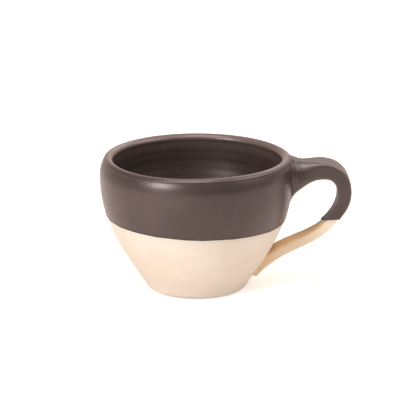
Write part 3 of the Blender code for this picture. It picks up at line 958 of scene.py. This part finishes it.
studio = {
    "floorSize": 8.0,
    "floorDrop": 0.05 * mm,
    "floor": (0.95, 0.86, 0.80),
    "floorPale": (0.95, 0.88, 0.82),
    "floorCloud": {"size": 0.4, "detail": 2.0, "rough": 0.5},
    "floorRoughness": 0.9, "floorSpecular": 0.1,
    "lift": (0.42, 0.42, 0.42),  # added where the floor is seen, so that it is white
    "lifted": 0.25, "liftedFrom": (-0.1, 0.3),  # share of that in reflections, behind the cup
    "underKeyX": (-0.10, 0.0), "underKeyY": (-0.12, 0.0),  # where all of it is in reflections
    "touching": (0.2 * mm, 0.4 * mm),  # light reaches the base from below
    "dark": (0.0, 0.0, 0.0),
    "white": (1.0, 1.0, 1.0),
    "front": (0.245, 0.245, 0.245),  # the room behind the camera is dim
    "back": (0.92, 0.77, 0.70), "backFrom": (0.0, 0.7), "backTop": (0.04, 0.48),
    "side": (0.44, 0.40, 0.375), "sideFrom": (-0.9, -0.4), "sideTop": (0.35, 0.7),  # lighter by the key
    "lamps": {
        "key": {"azimuth": -45, "elevation": 29, "size": (0.46, 0.38), "power": 13.0},
        "right": {"azimuth": 84, "elevation": 45, "size": (0.9, 0.8), "power": 8.4},
        "top": {"azimuth": -20, "elevation": 78, "size": (0.9, 0.7), "power": 11.5},
        "rear": {"azimuth": 150, "elevation": 36, "size": (1.4, 0.6), "power": 4.0},
    },
    "lampDistance": 1.5, "lampAim": (0.0, 0.0, 45 * mm),
}


def toward(azimuth, elevation):
    turn, rise = math.radians(azimuth), math.radians(elevation)
    return Vector((math.sin(turn) * math.cos(rise), -math.cos(turn) * math.cos(rise), math.sin(rise)))


def makeLamp(name, setup):
    data = bpy.data.lights.new(name, "AREA")
    data.shape = "RECTANGLE"
    data.size, data.size_y = setup["size"]
    data.energy = setup["power"]
    lamp = bpy.data.objects.new(name, data)
    out = toward(setup["azimuth"], setup["elevation"])
    lamp.location = Vector(studio["lampAim"]) + out * studio["lampDistance"]
    lamp.rotation_euler = out.to_track_quat("Z", "Y").to_euler()
    bpy.context.scene.collection.objects.link(lamp)


def seenRays(paint):
    names = ("Is Camera Ray", "Is Glossy Ray", "Is Transmission Ray", "Ray Length")
    return {name: paint.node("ShaderNodeLightPath", {}, {}, name) for name in names}


def makeFloor():
    half = studio["floorSize"] / 2
    corners = [(-half, -half, 0), (half, -half, 0), (half, half, 0), (-half, half, 0)]
    mesh = bpy.data.meshes.new("floor")
    mesh.from_pydata(corners, [], [(0, 1, 2, 3)])
    floor = bpy.data.objects.new("floor", mesh)
    floor.location.z = -studio["floorDrop"]
    bpy.context.scene.collection.objects.link(floor)
    paint = Paint(bpy.data.materials.new("paleFloor"))
    cloudy = paint.cloud(**studio["floorCloud"])
    paint.set(baseColor=paint.blend(cloudy, studio["floor"], studio["floorPale"]),
              roughness=studio["floorRoughness"], specularIORLevel=studio["floorSpecular"])
    ray = seenRays(paint)
    across = paint.axis(paint.place(), "X")
    away = paint.axis(paint.place(), "Y")
    deep = studio["lifted"] * away.ease(*studio["liftedFrom"])
    underKey = (1.0 - across.ease(*studio["underKeyX"])) * (1.0 - away.ease(*studio["underKeyY"]))
    seen = ray["Is Camera Ray"].most(ray["Is Transmission Ray"])
    shown = seen.most(ray["Is Glossy Ray"] * deep.most(underKey))
    lift = paint.blend(shown, studio["dark"], studio["lift"])
    paint.set(emissionColor=lift, emissionStrength=1.0)
    lit = Wire(paint, paint.shader.outputs[0])
    behind = paint.node("ShaderNodeNewGeometry", {}, {}, "Backfacing")
    touching = 1.0 - ray["Ray Length"].ease(*studio["touching"])
    clear = paint.node("ShaderNodeBsdfTransparent", {}, {})
    both = paint.node("ShaderNodeMixShader", {}, {0: behind.most(touching), 1: lit, 2: clear})
    paint.plug(paint.tree.nodes["Material Output"].inputs["Surface"], both)
    floor.data.materials.append(paint.owner)


def makeWorld():
    world = bpy.data.worlds.new("studio")
    bpy.context.scene.world = world
    paint = Paint(world)
    ray = seenRays(paint)
    direction = paint.node("ShaderNodeTexCoord", {}, {}, "Generated")
    across, back, high = (paint.axis(direction, name) for name in "XYZ")
    behind = back.ease(*studio["backFrom"]) * (1.0 - high.ease(*studio["backTop"]))
    beside = (1.0 - across.ease(*studio["sideFrom"])) * (1.0 - high.ease(*studio["sideTop"]))
    room = paint.blend(behind, paint.blend(beside, studio["front"], studio["side"]), studio["back"])
    seen = ray["Is Camera Ray"].most(ray["Is Transmission Ray"])
    paint.set(color=paint.blend(seen, room, studio["white"]), strength=1.0)


for lampName, lampSetup in studio["lamps"].items():
    makeLamp(lampName, lampSetup)
makeFloor()
makeWorld()
print("studio lit by", len(studio["lamps"]), "lamps")

camera = {
    "distance": 1.1, "elevation": 16.85, "lens": 167.02, "sensor": 36.0,
    "aim": (0.0, 0.0, 37 * mm), "right": 7.58 * mm, "up": 6.44 * mm,
}


def makeCamera():
    data = bpy.data.cameras.new("photoView")
    data.lens = camera["lens"]
    data.sensor_width = camera["sensor"]
    view = bpy.data.objects.new("photoView", data)
    out = toward(0, camera["elevation"])
    aim = Vector(camera["aim"])
    view.location = aim + out * camera["distance"]
    side = Vector((1.0, 0.0, 0.0))
    look = aim + camera["right"] * side + camera["up"] * out.cross(side)
    view.rotation_euler = (view.location - look).to_track_quat("Z", "Y").to_euler()
    bpy.context.scene.collection.objects.link(view)
    bpy.context.scene.camera = view
    print("camera set")


makeCamera()
bpy.context.scene.view_settings.view_transform = "Standard"
